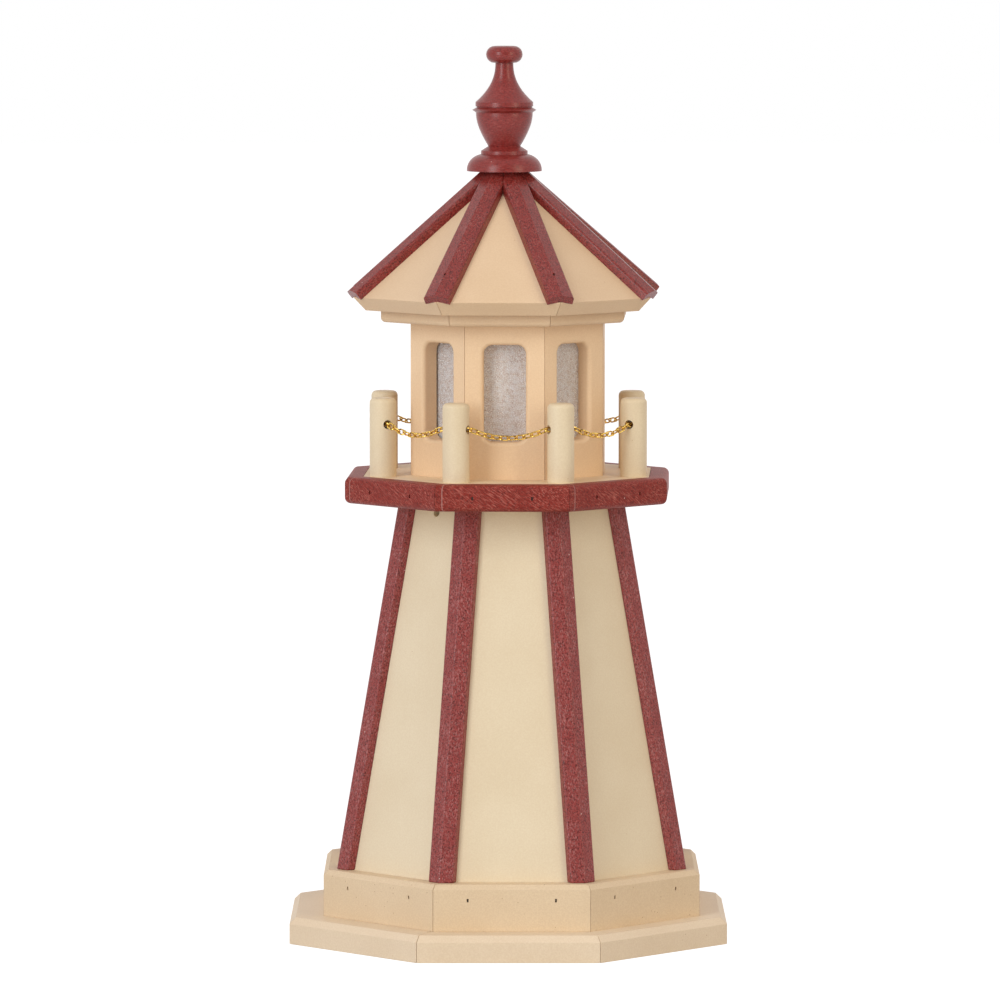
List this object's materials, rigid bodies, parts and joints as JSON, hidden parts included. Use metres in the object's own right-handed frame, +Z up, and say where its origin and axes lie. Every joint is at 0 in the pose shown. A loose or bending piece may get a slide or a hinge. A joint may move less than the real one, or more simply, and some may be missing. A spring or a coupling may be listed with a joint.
{
  "type": "garden lighthouse ornament",
  "caption": "Tall octagonal lighthouse of mitred boards with a tapering tower, chained gallery, windowed lantern, lift-off ribbed roof and turned finial.",
  "frame": {"origin": "middle of the base's underside, on the ground", "axes": "+Z up along the tower; the front side of the base faces -Y and +X is to the right seen from the front"},
  "size_m": [0.3116, 0.3116, 0.637],
  "materials": {
    "tan_board": "fine woodgrain, satin",
    "cherry_board": "fine woodgrain, satin",
    "gold_chain": "bright gold plating",
    "hammered_glazing": "hammered, translucent",
    "zinc_steel": "zinc plated",
    "bright_steel": "bright wire",
    "lampholder": "moulded, satin",
    "brass": "plain",
    "bulb_glass": "clear",
    "black_rubber": "moulded, matt"
  },
  "bodies": {
    "tower": {"base_boards": "tan_board", "plinth_boards": "tan_board", "tower_panel_1": "tan_board", "tower_panel_2": "tan_board", "tower_panel_3": "tan_board", "tower_panel_4": "tan_board", "tower_panel_5": "tan_board", "tower_panel_6": "tan_board", "tower_panel_7": "tan_board", "tower_panel_8": "tan_board", "tower_ribs": "cherry_board", "deck_front": "tan_board", "deck_back": "tan_board", "gallery_band": "cherry_board", "posts": "tan_board", "chain_in_posts": "gold_chain", "lantern_wall_1": "tan_board", "lantern_wall_2": "tan_board", "lantern_wall_3": "tan_board", "lantern_wall_4": "tan_board", "lantern_wall_5": "tan_board", "lantern_wall_6": "tan_board", "lantern_wall_7": "tan_board", "lantern_wall_8": "tan_board", "glazing_panes": "hammered_glazing", "lamp_socket": "lampholder", "socket_contact": "brass", "socket_screws": "zinc_steel", "cord_grommet": "black_rubber", "plinth_brads": "bright_steel", "band_brads": "bright_steel", "base_screws": "zinc_steel", "post_screws": "zinc_steel"},
    "roof": {"soffit_boards": "tan_board", "locating_plate": "tan_board", "roof_panel_1": "tan_board", "roof_panel_2": "tan_board", "roof_panel_3": "tan_board", "roof_panel_4": "tan_board", "roof_panel_5": "tan_board", "roof_panel_6": "tan_board", "roof_panel_7": "tan_board", "roof_panel_8": "tan_board", "roof_ribs": "cherry_board", "peak_block": "tan_board", "finial": "cherry_board", "finial_screw": "zinc_steel", "roof_rib_brads": "bright_steel", "plate_screws": "zinc_steel"},
    "bulb": {"bulb_glass": "bulb_glass", "bulb_cap": "brass", "bulb_filament": "bright_steel"},
    "swag_1": {"chain_swag_1": "gold_chain"},
    "swag_2": {"chain_swag_2": "gold_chain"},
    "swag_3": {"chain_swag_3": "gold_chain"},
    "swag_4": {"chain_swag_4": "gold_chain"},
    "swag_5": {"chain_swag_5": "gold_chain"},
    "swag_6": {"chain_swag_6": "gold_chain"},
    "swag_7": {"chain_swag_7": "gold_chain"},
    "swag_8": {"chain_swag_8": "gold_chain"}
  },
  "joints": [
    {"name": "roof_lift", "type": "slide", "parent": "tower", "child": "roof", "axis": [0, 0, 1], "range_m": [0, 0.13]},
    {"name": "bulb_unscrew", "type": "slide", "parent": "tower", "child": "bulb", "axis": [0, 0, 1], "range_m": [0, 0.024]},
    {"name": "swag_swing_1", "type": "hinge", "parent": "tower", "child": "swag_1", "pos_m": [0, -0.09344, 0.3695], "axis": [1, 0, 0], "range_deg": [-20, 20]},
    {"name": "swag_swing_2", "type": "hinge", "parent": "tower", "child": "swag_2", "pos_m": [0.06607, -0.06607, 0.3695], "axis": [0.7071, 0.7071, 0], "range_deg": [-20, 20]},
    {"name": "swag_swing_3", "type": "hinge", "parent": "tower", "child": "swag_3", "pos_m": [0.09344, 0, 0.3695], "axis": [0, 1, 0], "range_deg": [-20, 20]},
    {"name": "swag_swing_4", "type": "hinge", "parent": "tower", "child": "swag_4", "pos_m": [0.06607, 0.06607, 0.3695], "axis": [-0.7071, 0.7071, 0], "range_deg": [-20, 20]},
    {"name": "swag_swing_5", "type": "hinge", "parent": "tower", "child": "swag_5", "pos_m": [0, 0.09344, 0.3695], "axis": [-1, 0, 0], "range_deg": [-20, 20]},
    {"name": "swag_swing_6", "type": "hinge", "parent": "tower", "child": "swag_6", "pos_m": [-0.06607, 0.06607, 0.3695], "axis": [-0.7071, -0.7071, 0], "range_deg": [-20, 20]},
    {"name": "swag_swing_7", "type": "hinge", "parent": "tower", "child": "swag_7", "pos_m": [-0.09344, 0, 0.3695], "axis": [0, -1, 0], "range_deg": [-20, 20]},
    {"name": "swag_swing_8", "type": "hinge", "parent": "tower", "child": "swag_8", "pos_m": [-0.06607, -0.06607, 0.3695], "axis": [0.7071, -0.7071, 0], "range_deg": [-20, 20]}
  ]
}
